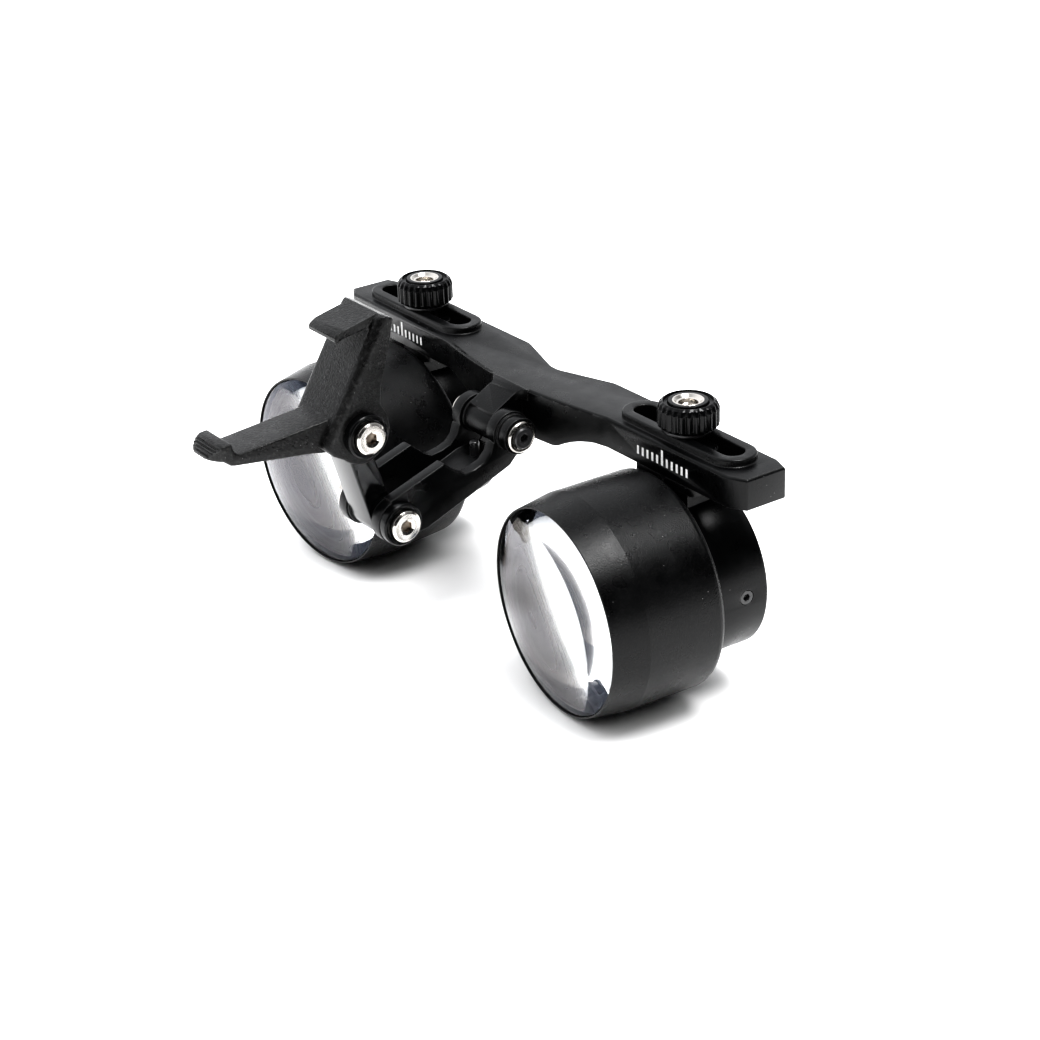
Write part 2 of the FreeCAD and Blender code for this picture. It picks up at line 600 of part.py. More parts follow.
nodes = all_nodes()
whole = Part.makeCompound(list(nodes.values())).optimalBoundingBox()
shift = Vector(0, -(whole.YMin + whole.YMax) / 2, -whole.ZMin)
print("shift of the layout to the stored frame, mm:", [round(v, 4) for v in shift])
print("size, mm:", round(whole.XLength, 2), round(whole.YLength, 2), round(whole.ZLength, 2))
os.makedirs("parts", exist_ok=True)
for name, shape in nodes.items():
    shape.translated(shift).exportStep("parts/" + name + ".step")
print(len(nodes), "nodes")
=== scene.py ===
import json
import math

import bmesh
import bpy
from mathutils import Matrix, Vector
from mathutils.bvhtree import BVHTree
from mathutils.geometry import intersect_point_line


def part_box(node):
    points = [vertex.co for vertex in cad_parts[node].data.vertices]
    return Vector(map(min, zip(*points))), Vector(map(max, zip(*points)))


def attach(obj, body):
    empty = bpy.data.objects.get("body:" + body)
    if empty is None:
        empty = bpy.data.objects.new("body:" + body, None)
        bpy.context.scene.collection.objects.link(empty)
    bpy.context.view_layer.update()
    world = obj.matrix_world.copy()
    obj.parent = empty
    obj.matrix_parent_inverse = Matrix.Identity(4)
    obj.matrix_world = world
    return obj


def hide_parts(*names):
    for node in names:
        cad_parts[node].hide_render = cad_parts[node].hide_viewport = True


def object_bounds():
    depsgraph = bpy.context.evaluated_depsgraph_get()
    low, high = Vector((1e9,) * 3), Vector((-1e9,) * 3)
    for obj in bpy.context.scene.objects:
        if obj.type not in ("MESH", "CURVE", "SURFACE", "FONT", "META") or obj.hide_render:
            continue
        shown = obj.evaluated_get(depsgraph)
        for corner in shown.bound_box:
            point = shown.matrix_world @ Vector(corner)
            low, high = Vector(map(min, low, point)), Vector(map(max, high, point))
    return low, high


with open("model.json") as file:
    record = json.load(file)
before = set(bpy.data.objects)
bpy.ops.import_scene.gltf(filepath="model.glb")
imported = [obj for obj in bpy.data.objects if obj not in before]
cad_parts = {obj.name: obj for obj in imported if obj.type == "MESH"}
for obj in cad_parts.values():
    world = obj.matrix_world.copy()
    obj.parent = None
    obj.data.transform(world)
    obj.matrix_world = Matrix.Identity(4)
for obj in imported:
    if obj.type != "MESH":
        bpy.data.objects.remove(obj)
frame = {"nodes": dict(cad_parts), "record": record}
cad_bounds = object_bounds()

MM = 0.001
SIDES = ("left", "right")
nodes = frame["nodes"]
record = frame["record"]
slot_of = {part["node"]: part["material_slot"] for part in record["subparts"]}
body_of = {node: body for body, members in record["behaviour"]["bodies"].items() for node in members}
mounts = {mount["name"]: mount for mount in record["mounts"]}
replaced = set()


# ---------------------------------------------------------------- camera, light and floor

CAMERA_AZIMUTH = 54.963       # degrees
CAMERA_ELEVATION = 25.360
CAMERA_ROLL = -1.969
CAMERA_DISTANCE = 334.12      # mm, from the middle of the object
CAMERA_LENS = 85.56           # mm, on a sensor of this width
SENSOR_WIDTH = 36
NEAR_CLIP, FAR_CLIP = 0.01, 30     # m
AIM_RIGHT = 15.892            # mm, the view's middle from the middle of the object
AIM_UP = -6.060

# Each softbox is (direction towards it, degrees across, strength, whether it shows in reflections).
SOFTBOXES = {"overhead softbox": ((0.30, 0.12, 0.95), 26, 2.4, True),
             "ceiling": ((-0.1, -0.05, 0.99), 120, 3.4, False)}

# The room's glow rises from GLOW_LOW to GLOW_HIGH as a direction turns towards the bright side. It starts
# and stops rising where the dot product of the two directions is GLOW_STARTS and GLOW_FULL.
BRIGHT_SIDE = (-0.90, 0.05, 0.42)
GLOW_STARTS, GLOW_FULL = -0.35, 0.95
GLOW_LOW, GLOW_HIGH = 0.02, 1.0
ROOM_COLOUR = (0.97, 0.98, 1, 1)
WHITE = (1, 1, 1, 1)

FLOOR_REACH = 6.0             # m
FLOOR_CELLS = 8
FLOOR_COLOUR = (0.86, 0.86, 0.86, 1)
FLOOR_GAP = 0.02              # mm, below the object


def make_camera():
    azimuth, elevation, roll = (math.radians(a) for a in (CAMERA_AZIMUTH, CAMERA_ELEVATION, CAMERA_ROLL))
    back = Vector((math.sin(azimuth) * math.cos(elevation),
                   -math.cos(azimuth) * math.cos(elevation), math.sin(elevation)))
    level = Vector((math.cos(azimuth), math.sin(azimuth), 0))
    across = level * math.cos(roll) + back.cross(level) * math.sin(roll)
    up = back.cross(across)
    middle = (cad_bounds[0] + cad_bounds[1]) / 2
    place = middle + MM * (across * AIM_RIGHT + up * AIM_UP + back * CAMERA_DISTANCE)
    data = bpy.data.cameras.new("camera")
    data.sensor_width = SENSOR_WIDTH
    data.lens = CAMERA_LENS
    data.clip_start, data.clip_end = NEAR_CLIP, FAR_CLIP
    camera = bpy.data.objects.new("camera", data)
    camera.matrix_world = Matrix.Translation(place) @ Matrix((across, up, back)).transposed().to_4x4()
    bpy.context.scene.collection.objects.link(camera)
    bpy.context.scene.camera = camera


def make_lights():
    for name, (direction, spread, strength, reflected) in SOFTBOXES.items():
        data = bpy.data.lights.new(name, "SUN")
        data.energy = strength
        data.angle = math.radians(spread)
        light = bpy.data.objects.new(name, data)
        light.rotation_mode = "QUATERNION"
        light.rotation_quaternion = Vector(direction).to_track_quat("Z", "Y")
        light.visible_glossy = reflected
        bpy.context.scene.collection.objects.link(light)
    bpy.context.scene.view_settings.view_transform = "Standard"
    bpy.context.scene.view_settings.look = "High Contrast"


def make_surroundings():
    """A pale room, brighter on the left than on the right, that looks plain white to the camera."""
    world = bpy.data.worlds.new("room")
    world.use_nodes = True
    bpy.context.scene.world = world
    tree = world.node_tree
    tree.nodes.clear()
    direction = add(tree, "ShaderNodeTexCoord").outputs["Generated"]
    toward = add(tree, "ShaderNodeVectorMath", {0: direction, 1: BRIGHT_SIDE}, operation="DOT_PRODUCT")
    glow = add(tree, "ShaderNodeMapRange",
               {"Value": toward.outputs["Value"], "From Min": GLOW_STARTS, "From Max": GLOW_FULL,
                "To Min": GLOW_LOW, "To Max": GLOW_HIGH}, interpolation_type="SMOOTHSTEP")
    room = add(tree, "ShaderNodeBackground", {"Color": ROOM_COLOUR, "Strength": glow.outputs["Result"]})
    backdrop = add(tree, "ShaderNodeBackground", {"Color": WHITE, "Strength": 1.0})
    seen = add(tree, "ShaderNodeLightPath").outputs["Is Camera Ray"]
    mixed = add(tree, "ShaderNodeMixShader", {0: seen, 1: room.outputs[0], 2: backdrop.outputs[0]})
    output = add(tree, "ShaderNodeOutputWorld")
    tree.links.new(mixed.outputs[0], output.inputs["Surface"])


def make_floor():
    bm = bmesh.new()
    bmesh.ops.create_grid(bm, x_segments=FLOOR_CELLS, y_segments=FLOOR_CELLS, size=FLOOR_REACH)
    mesh = bpy.data.meshes.new("floor")
    bm.to_mesh(mesh)
    bm.free()
    floor = bpy.data.objects.new("floor", mesh)
    floor.location.z = cad_bounds[0].z - FLOOR_GAP * MM
    material = bpy.data.materials.new("white table")
    material.use_nodes = True
    shader = material.node_tree.nodes["Principled BSDF"]
    shader.inputs["Base Color"].default_value = FLOOR_COLOUR
    shader.inputs["Roughness"].default_value = 0.7
    shader.inputs["Specular IOR Level"].default_value = 0.2
    mesh.materials.append(material)
    bpy.context.scene.collection.objects.link(floor)


# ---------------------------------------------------------------- materials

def add(tree, kind, inputs=None, **settings):
    """A new shader node. An input is a number, a colour or another node's output."""
    made = tree.nodes.new(kind)
    for name, value in settings.items():
        setattr(made, name, value)
    for name, value in (inputs or {}).items():
        if isinstance(value, bpy.types.NodeSocket):
            tree.links.new(value, made.inputs[name])
        else:
            made.inputs[name].default_value = value
    return made


def start_material(name, constants):
    material = bpy.data.materials.new(name)
    material.use_nodes = True
    tree = material.node_tree
    shader = tree.nodes["Principled BSDF"]
    for socket, value in constants.items():
        shader.inputs[socket].default_value = value
    return material, tree, shader


def place_of(tree, turned):
    """Coordinates in mm: along the turned profile where a piece is turned, else in the piece's own space."""
    if turned:
        return add(tree, "ShaderNodeUVMap", uv_map="turning").outputs["UV"]
    point = add(tree, "ShaderNodeTexCoord").outputs["Object"]
    return add(tree, "ShaderNodeVectorMath", {0: point, "Scale": 1 / MM}, operation="SCALE").outputs["Vector"]


def noise(tree, place, size, stretch=(1, 1, 1), detail=2.0):
    """Noise with features of about that size in mm."""
    scaled = add(tree, "ShaderNodeVectorMath", {0: place, 1: stretch}, operation="MULTIPLY").outputs["Vector"]
    return add(tree, "ShaderNodeTexNoise",
               {"Vector": scaled, "Scale": 1 / size, "Detail": detail, "Roughness": 0.6}).outputs["Fac"]


def remap(tree, value, low, high, to_low, to_high):
    return add(tree, "ShaderNodeMapRange", {"Value": value, "From Min": low, "From Max": high,
                                            "To Min": to_low, "To Max": to_high}).outputs["Result"]


def blend_colours(tree, share, first, second):
    mixed = add(tree, "ShaderNodeMix", {"Factor": share}, data_type="RGBA")
    for socket, value in ((mixed.inputs[6], first), (mixed.inputs[7], second)):
        if isinstance(value, bpy.types.NodeSocket):
            tree.links.new(value, socket)
        else:
            socket.default_value = (*value, 1)
    return mixed.outputs[2]


NOISE_LOW, NOISE_HIGH = 0.3, 0.7           # noise lies mostly between these
STRONG_LOW, STRONG_HIGH = 0.35, 0.65       # a narrower range, for more contrast


def contrast(tree, value):
    """Noise stretched so that most of it runs from 0 to 1."""
    return remap(tree, value, STRONG_LOW, STRONG_HIGH, 0.0, 1.0)


WEAR_AND_HIGHLIGHT_STARTS, WEAR_AND_HIGHLIGHT_FULL = 0.995, 0.86       # cosines of the angle between the flat and the eased normal
WEAR_AND_HIGHLIGHT_SAMPLES = 4


# The edge mask serves two things: smoother edges, as from wear, and paler edges, which are a painted
# highlight.
def edge_wear_and_highlight(tree, radius):
    """Near 1 on convex and concave edges within that radius in mm, and 0 on open faces."""
    eased = add(tree, "ShaderNodeBevel", {"Radius": radius * MM}, samples=WEAR_AND_HIGHLIGHT_SAMPLES).outputs["Normal"]
    flat = add(tree, "ShaderNodeNewGeometry").outputs["Normal"]
    alike = add(tree, "ShaderNodeVectorMath", {0: eased, 1: flat}, operation="DOT_PRODUCT").outputs["Value"]
    return remap(tree, alike, WEAR_AND_HIGHLIGHT_STARTS, WEAR_AND_HIGHLIGHT_FULL, 0.0, 1.0)


DUST_SPACING = 0.9            # mm
DUST_SIZE = 0.05              # mm
DUST_MIDDLE = 0.55            # share of a speck's size that is fully pale
DUST_STEP = 0.01              # how sharply the share of places is cut off
DUST_COLOUR = (0.35, 0.35, 0.35)


def dust(tree, place, share):
    """Scattered pale specks: 1 in a speck, 0 elsewhere. The share is of the places where one may lie."""
    cells = add(tree, "ShaderNodeTexVoronoi", {"Vector": place, "Scale": 1 / DUST_SPACING, "Randomness": 1.0})
    kept = add(tree, "ShaderNodeSeparateColor", {0: cells.outputs["Color"]}).outputs[0]
    kept = remap(tree, kept, 1 - share, 1 - share + DUST_STEP, 0.0, 1.0)
    size = DUST_SIZE / DUST_SPACING
    inside = remap(tree, cells.outputs["Distance"], size, DUST_MIDDLE * size, 0.0, 1.0)
    return add(tree, "ShaderNodeMath", {0: kept, 1: inside}, operation="MULTIPLY").outputs[0]


FINE_DETAIL = 3.0
CLOUD_SIZE = 3.5              # mm
CLOUD_PALER = 1.5             # times the tone
# Painted glints: pale spots on the grain that stand in for sparkling highlights.
GLINT_SIZE = 1.6                # times the grain's size
GLINT_STARTS, GLINT_FULL = 0.52, 0.68
TURNING_MARKS = (0.25, 6, 1)  # stretches grain into rings round a turned piece
# How far an edge's colour goes towards the edge tone: a painted highlight.
PAINTED_HIGHLIGHT_SHARE = 0.6
WEAR_POLISH = 0.1             # how much smoother an edge is from wear


def black_material(name, tone, *, roughness, grain, depth, spread=0.06, edge_highlight_tone=0.05, edge_reach=0.25,
                   specks=0.0, glint_tone=0.0, turned=False, level=0.3):
    """A black finish: fine grain, cloudy gloss, edges smoother from wear and paler as a painted highlight,
    painted glints, and a little dust.

    The grain's size, its depth and the edge's reach are in mm; the edge tone is a painted highlight's, and
    the glint tone that of painted glints, pale spots standing in for sparkle on the grain.
    """
    material, tree, shader = start_material(name, {"Specular IOR Level": level})
    place = place_of(tree, turned)
    fine = noise(tree, place, grain, TURNING_MARKS if turned else (1, 1, 1), FINE_DETAIL)
    clouds = noise(tree, place, CLOUD_SIZE)
    wear_and_highlight = edge_wear_and_highlight(tree, edge_reach)
    colour = blend_colours(tree, contrast(tree, clouds), tone, [CLOUD_PALER * c for c in tone])
    # Painted highlight: edges made paler in colour, standing in for the light they catch.
    painted_edge_highlight = add(tree, "ShaderNodeMath", {0: wear_and_highlight, 1: PAINTED_HIGHLIGHT_SHARE}, operation="MULTIPLY").outputs[0]
    colour = blend_colours(tree, painted_edge_highlight, colour, [edge_highlight_tone] * 3)
    # Painted glints: pale spots that stand in for the grain's sparkle.
    if glint_tone:
        painted_glints = noise(tree, place, GLINT_SIZE * grain, detail=FINE_DETAIL)
        painted_glints = remap(tree, painted_glints, GLINT_STARTS, GLINT_FULL, 0.0, 1.0)
        colour = blend_colours(tree, painted_glints, colour, [glint_tone] * 3)
    if specks:
        colour = blend_colours(tree, dust(tree, place, specks), colour, DUST_COLOUR)
    tree.links.new(colour, shader.inputs["Base Color"])
    gloss = remap(tree, clouds, NOISE_LOW, NOISE_HIGH, roughness - spread, roughness + spread)
    polish = remap(tree, wear_and_highlight, 0, 1, 0.0, WEAR_POLISH)
    gloss = add(tree, "ShaderNodeMath", {0: gloss, 1: polish}, operation="SUBTRACT")
    tree.links.new(gloss.outputs[0], shader.inputs["Roughness"])
    bump = add(tree, "ShaderNodeBump", {"Height": fine, "Distance": depth * MM, "Strength": 1.0})
    tree.links.new(bump.outputs[0], shader.inputs["Normal"])
    return material


STEEL_MARK = 0.35             # mm
STEEL_CLOUD = 1.5             # mm
STEEL_DEPTH = 0.004           # mm
STEEL_DARKER = 0.8            # times the tone
STEEL_SMOOTHER, STEEL_ROUGHER = 0.06, 0.1  # around the roughness
TURNED_STEEL_MARKS = (0.15, 5, 1)
BRUSHED_STEEL_MARKS = (1, 1, 5)


def steel_material(name, tone, roughness, turned):
    material, tree, shader = start_material(name, {"Metallic": 1.0})
    place = place_of(tree, turned)
    marks = noise(tree, place, STEEL_MARK, TURNED_STEEL_MARKS if turned else BRUSHED_STEEL_MARKS, FINE_DETAIL)
    clouds = noise(tree, place, STEEL_CLOUD)
    colour = blend_colours(tree, contrast(tree, clouds), tone, [STEEL_DARKER * c for c in tone])
    tree.links.new(colour, shader.inputs["Base Color"])
    gloss = remap(tree, marks, NOISE_LOW, NOISE_HIGH, roughness - STEEL_SMOOTHER, roughness + STEEL_ROUGHER)
    tree.links.new(gloss, shader.inputs["Roughness"])
    bump = add(tree, "ShaderNodeBump", {"Height": marks, "Distance": STEEL_DEPTH * MM, "Strength": 1.0})
    tree.links.new(bump.outputs[0], shader.inputs["Normal"])
    return material


PAINT_GRAIN = 0.25            # mm
PAINT_DEPTH = 0.02            # mm
FRESH_PAINT = (0.86, 0.86, 0.85)
RUBBED_PAINT = (0.62, 0.62, 0.62)


def paint_material():
    material, tree, shader = start_material("white paint", {"Roughness": 0.5})
    uneven = noise(tree, place_of(tree, False), PAINT_GRAIN, detail=FINE_DETAIL)
    colour = blend_colours(tree, remap(tree, uneven, NOISE_LOW, NOISE_HIGH, 0, 1), FRESH_PAINT, RUBBED_PAINT)
    tree.links.new(colour, shader.inputs["Base Color"])
    bump = add(tree, "ShaderNodeBump", {"Height": uneven, "Distance": PAINT_DEPTH * MM, "Strength": 1.0})
    tree.links.new(bump.outputs[0], shader.inputs["Normal"])
    return material


GLASS_INDEX = 1.60
FILM_THICKNESS = 130.0        # nm, an anti-reflection coating
FILM_INDEX = 1.48
GLASS_CLOUD = 6.0             # mm
GLASS_TINTS = ((1.0, 0.99, 1.0), (0.99, 1.0, 0.99))


def glass_material():
    material, tree, shader = start_material("coated glass", {
        "Transmission Weight": 1.0, "IOR": GLASS_INDEX, "Roughness": 0.0,
        "Thin Film Thickness": FILM_THICKNESS, "Thin Film IOR": FILM_INDEX})
    tint = noise(tree, place_of(tree, False), GLASS_CLOUD)
    colour = blend_colours(tree, contrast(tree, tint), *GLASS_TINTS)
    tree.links.new(colour, shader.inputs["Base Color"])
    return material


def make_materials():
    black = (0.0016, 0.0017, 0.0019)
    nylon = (0.002, 0.002, 0.002)
    baffle = (0.004, 0.004, 0.004)
    rubber = (0.012, 0.012, 0.012)
    acetal = (0.010, 0.010, 0.010)
    oxide = (0.016, 0.016, 0.017)
    return {
        "satin_black_anodise": black_material(
            "satin black anodise", black, roughness=0.31, grain=0.22, depth=0.022, specks=0.15,
            edge_highlight_tone=0.10),
        "grained_black_anodise": black_material(
            "grained black anodise", black, roughness=0.30, grain=0.19, depth=0.038, specks=0.5,
            glint_tone=0.006, edge_highlight_tone=0.08, edge_reach=0.2),
        "gloss_black_anodise": black_material(
            "gloss black anodise", black, roughness=0.16, grain=0.15, depth=0.0012, spread=0.03, level=0.7),
        "turned_black_anodise": black_material(
            "turned black anodise", black, roughness=0.22, grain=0.5, depth=0.003, turned=True,
            edge_highlight_tone=0.08, edge_reach=0.15),
        "grained_black_nylon": black_material(
            "grained black nylon", nylon, roughness=0.30, grain=0.30, depth=0.110, glint_tone=0.020, level=0.45,
            edge_highlight_tone=0.06, edge_reach=0.3, specks=0.5),
        "baffle_black": black_material("baffle black", baffle, roughness=0.55, grain=0.2, depth=0.004),
        "black_rubber": black_material("black rubber", rubber, roughness=0.62, grain=0.12, depth=0.006),
        "black_acetal": black_material("black acetal", acetal, roughness=0.38, grain=0.2, depth=0.003),
        "black_steel": black_material(
            "black oxide steel", oxide, roughness=0.30, grain=0.12, depth=0.003, level=0.8),
        "oiled_steel": steel_material("oiled steel", (0.24, 0.205, 0.17), 0.34, False),
        "polished_steel": steel_material("polished steel", (0.78, 0.75, 0.71), 0.20, False),
        "turned_steel": steel_material("turned steel", (0.80, 0.77, 0.73), 0.18, True),
        "white_paint": paint_material(),
        "coated_glass": glass_material(),
    }


# ---------------------------------------------------------------- mesh tools

FILLET_STEPS = 5
LONGEST_FILLET = 0.48         # share of either line at the corner
ON_AXIS = 1e-6                # mm, a profile point nearer than this is on the axis
TURNS = 96                    # faces round a turned piece
SHARP = 32                    # degrees, an edge that turns more than this isn't smooth


def corner(along, radius, fillet=0.0, form=None):
    """A corner of a turned profile in mm. form changes the radius with the angle, as for a hexagon."""
    return along, radius, fillet, form


def drawn(corners, closed):
    """The profile's points, with an arc at each corner that has a fillet."""
    points = []
    for i, (along, radius, fillet, form) in enumerate(corners):
        here = Vector((along, radius))
        if fillet == 0 or (not closed and i in (0, len(corners) - 1)):
            points.append((along, radius, form))
            continue
        before = Vector(corners[i - 1][:2]) - here
        after = Vector(corners[(i + 1) % len(corners)][:2]) - here
        half = before.angle(after) / 2
        reach = min(fillet / math.tan(half), LONGEST_FILLET * before.length, LONGEST_FILLET * after.length)
        centre = here + (before.normalized() + after.normalized()).normalized() * reach / math.cos(half)
        first = here + before.normalized() * reach - centre
        last = here + after.normalized() * reach - centre
        sweep = first.angle(last)
        for step in range(FILLET_STEPS + 1):
            t = step / FILLET_STEPS
            spoke = (first * math.sin((1 - t) * sweep) + last * math.sin(t * sweep)) / math.sin(sweep)
            points.append((centre.x + spoke.x, centre.y + spoke.y, form))
    return points


def ring_of(bm, place, profile_point, turns):
    """The vertices that a profile point makes as it turns, or the single one on the axis."""
    along, radius, form = profile_point
    if radius < ON_AXIS:
        return [bm.verts.new(place @ Vector((0, 0, along * MM)))]
    ring = []
    for turn in range(turns):
        angle = 2 * math.pi * turn / turns
        reach = radius * (form(angle) if form else 1) * MM
        point = Vector((reach * math.cos(angle), reach * math.sin(angle), along * MM))
        ring.append(bm.verts.new(place @ point))
    return ring


def face_between(bm, uv, first, second, turn, turns):
    """A face between two rings. Each comes with its length along the profile in mm, for the UV map."""
    used, marks = [], []
    for (ring, length), here in ((first, turn), (first, turn + 1), (second, turn + 1), (second, turn)):
        vert = ring[here % len(ring)]
        if vert not in used:
            used.append(vert)
            marks.append((here / turns, length))
    if len(used) > 2:
        face = bm.faces.new(used)
        for loop, mark in zip(face.loops, marks):
            loop[uv].uv = mark


def lathe(corners, place, closed=False, turns=TURNS):
    """The profile turned about the place's Z axis. An open profile starts and ends on the axis."""
    points = drawn(corners, closed)
    bm = bmesh.new()
    uv = bm.loops.layers.uv.new("turning")
    rings, length = [], 0.0
    for i, point in enumerate(points):
        if i:
            length += math.dist(points[i - 1][:2], point[:2])
        rings.append((ring_of(bm, place, point, turns), length))
    if closed:
        length += math.dist(points[-1][:2], points[0][:2])
        rings.append((rings[0][0], length))
    for first, second in zip(rings, rings[1:]):
        for turn in range(turns):
            face_between(bm, uv, first, second, turn, turns)
    bmesh.ops.recalc_face_normals(bm, faces=bm.faces)
    return bm


def stand_in(node, bm, material, sharp=SHARP, also=()):
    """The finished mesh as a piece that replaces a CAD node, and others with it, and rides on its body."""
    mesh = bpy.data.meshes.new(node + "_fine")
    bm.to_mesh(mesh)
    bm.free()
    mesh.shade_smooth()
    mesh.set_sharp_from_angle(angle=math.radians(sharp))
    mesh.materials.append(material)
    piece = bpy.data.objects.new(node + "_fine", mesh)
    bpy.context.scene.collection.objects.link(piece)
    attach(piece, body_of[node])
    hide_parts(node, *also)
    replaced.update((node, *also))
    return piece


def finish_faces(piece, place, material, chosen):
    """A second material on each face whose middle, in mm in the place's own space, is chosen."""
    piece.data.materials.append(material)
    inverse = place.inverted()
    for face in piece.data.polygons:
        if chosen((inverse @ face.center) / MM):
            face.material_index = 1


# ---------------------------------------------------------------- places

def span(node, axis):
    """Where a node starts and ends along an axis, in mm."""
    return [end[axis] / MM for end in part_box(node)]


def centre_of(node):
    low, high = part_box(node)
    return (low + high) / 2


def crosswise(node):
    """A place on the middle line of a part that lies along X, measured along from x = 0."""
    centre = centre_of(node)
    along_x = Vector((1, 0, 0)).to_track_quat("Z", "Y").to_matrix().to_4x4()
    return Matrix.Translation((0, centre.y, centre.z)) @ along_x


def upright(node):
    """A place on the middle line of a part that stands along Z, measured up from z = 0."""
    centre = centre_of(node)
    return Matrix.Translation((centre.x, centre.y, 0))


def hexagonal(angle):
    """A hexagon's radius at that angle, as a share of the distance to its flats."""
    return 1 / math.cos((angle + math.pi / 6) % (math.pi / 3) - math.pi / 6)


# ---------------------------------------------------------------- telescopes
# Sizes in mm. Places along a telescope run forward from the front end of the carriage's ring.

SEAT_MIDDLE = 6.85            # the cap seat's middle
TUBE_RADIUS = 10.4
TUBE_BACK, TUBE_FRONT = -7.4, 5.8
TUBE_BORE = 8.6
EYE_OPENING = 7.9
EYE_SEAT = -6.9
TUBE_TURNS = 144

BELL_RADIUS = 15.1
BELL_BACK, BELL_CREASE, BELL_FRONT = 0.4, 12.2, 17.3
BELL_FRONT_RADIUS = 14.3
BELL_ROUNDING = 1.1           # round the back
BELL_WALL = 1.5               # the back's thickness
BELL_BORE = 13.3
BELL_TURNS = 180
BELL_SHARP = 6                # degrees
THREAD_GAP = 0.02             # between the bell and its tube
GLASS_RADIUS = 13.93
GLASS_GAP = 0.05              # between a front glass and the bell
MOUTH_WIDTH, MOUTH_DEPTH = 0.11, 0.35     # the chamfer at the bell's mouth
LENS_SEAT = 12.4
SEAT_RADIUS = 12.8
SEAT_THICKNESS = 1.2
BAFFLES = 12
BAFFLE_START = 2.0            # behind the lens seat
BAFFLES_LENGTH = 7.7
BAFFLE_DEPTH = 0.45
BAFFLE_SLOPE = 0.6            # share of the pitch
INSIDE = 0.1                  # how far in from the bell's edges its dull black begins

GASKET_BACK, GASKET_FRONT = LENS_SEAT + 0.02, LENS_SEAT + 0.28
GASKET_BORE = 12.85
RETAINER_BACK, RETAINER_FRONT = -3.85, -2.4
RETAINER_RADIUS = 8.56
RETAINER_BORE = 7.7
RETAINER_MOUTH = 7.9
RETAINER_CHAMFER = 0.5
RING_TURNS = 120

# Each glass is (front edge, front radius, back edge, back radius), where a negative radius faces back.
OBJECTIVE = (17.15, 38.0, 12.7, -200.0)
OCULAR = (-3.9, -24.0, -6.9, 34.0)
OCULAR_RADIUS = 8.55
GLASS_STEPS = 56              # rings of faces from a glass's middle to its rim
GLASS_TURNS = 192
RIM_MARGIN = 0.02


def barrel_place(side):
    """Z runs forward along the telescope from the front end of the carriage's ring."""
    seat = mounts[side + "_cap_seat"]
    ahead = Vector(seat["axis"])
    start = Vector(seat["pos_m"]) - ahead * SEAT_MIDDLE * MM
    return Matrix.Translation(start) @ ahead.to_track_quat("Z", "Y").to_matrix().to_4x4()


def baffle_corners():
    """Fine steps in the bell's bore, which keep stray light off the eye."""
    pitch = BAFFLES_LENGTH / BAFFLES
    corners = []
    for i in range(BAFFLES):
        along = LENS_SEAT - BAFFLE_START - i * pitch
        corners += [corner(along, BELL_BORE), corner(along - BAFFLE_SLOPE * pitch, BELL_BORE + BAFFLE_DEPTH)]
    return corners


def inside_bell(point):
    return point.xy.length < GLASS_RADIUS + INSIDE and point.z > BELL_BACK + INSIDE


def make_bell(side, materials):
    bore = GLASS_RADIUS + GLASS_GAP
    thread = TUBE_RADIUS + THREAD_GAP
    shell = [corner(BELL_BACK, thread), corner(BELL_BACK, BELL_RADIUS, BELL_ROUNDING),
             corner(BELL_CREASE, BELL_RADIUS), corner(BELL_FRONT, BELL_FRONT_RADIUS, 0.1),
             corner(BELL_FRONT, bore + MOUTH_WIDTH, 0.04), corner(BELL_FRONT - MOUTH_DEPTH, bore),
             corner(LENS_SEAT, bore), corner(LENS_SEAT, SEAT_RADIUS),
             corner(LENS_SEAT - SEAT_THICKNESS, SEAT_RADIUS), *baffle_corners(),
             corner(BELL_BACK + BELL_WALL, BELL_BORE), corner(BELL_BACK + BELL_WALL, thread)]
    place = barrel_place(side)
    piece = stand_in(side + "_bell", lathe(shell, place, closed=True, turns=BELL_TURNS),
                     materials["grained_black_anodise"], sharp=BELL_SHARP)
    finish_faces(piece, place, materials["baffle_black"], inside_bell)


def make_eyepiece_tube(side, materials):
    tube = [corner(TUBE_BACK, EYE_OPENING, 0.1), corner(TUBE_BACK, TUBE_RADIUS, 0.25),
            corner(TUBE_FRONT, TUBE_RADIUS, 0.2), corner(TUBE_FRONT, TUBE_BORE, 0.1),
            corner(EYE_SEAT, TUBE_BORE), corner(EYE_SEAT, EYE_OPENING)]
    stand_in(side + "_eyepiece_tube", lathe(tube, barrel_place(side), closed=True, turns=TUBE_TURNS),
             materials["grained_black_anodise"])


def sphere_arc(edge, rim, radius):
    """Profile points from the axis out to the rim of a face of that radius; a negative radius faces back."""
    depth = abs(radius) - math.sqrt(radius ** 2 - rim ** 2)
    points = []
    for i in range(GLASS_STEPS + 1):
        away = rim * i / GLASS_STEPS
        rise = depth - (abs(radius) - math.sqrt(radius ** 2 - away ** 2))
        points.append(corner(edge + math.copysign(rise, radius), away))
    return points


def make_glass(node, side, rim, shape, materials, also=()):
    """A glass with its ground rim painted black."""
    front_edge, front_radius, back_edge, back_radius = shape
    profile = sphere_arc(front_edge, rim, front_radius) + sphere_arc(back_edge, rim, back_radius)[::-1]
    place = barrel_place(side)
    piece = stand_in(node, lathe(profile, place, turns=GLASS_TURNS), materials["coated_glass"], also=also)
    finish_faces(piece, place, materials["black_acetal"], lambda point: point.xy.length > rim - RIM_MARGIN)


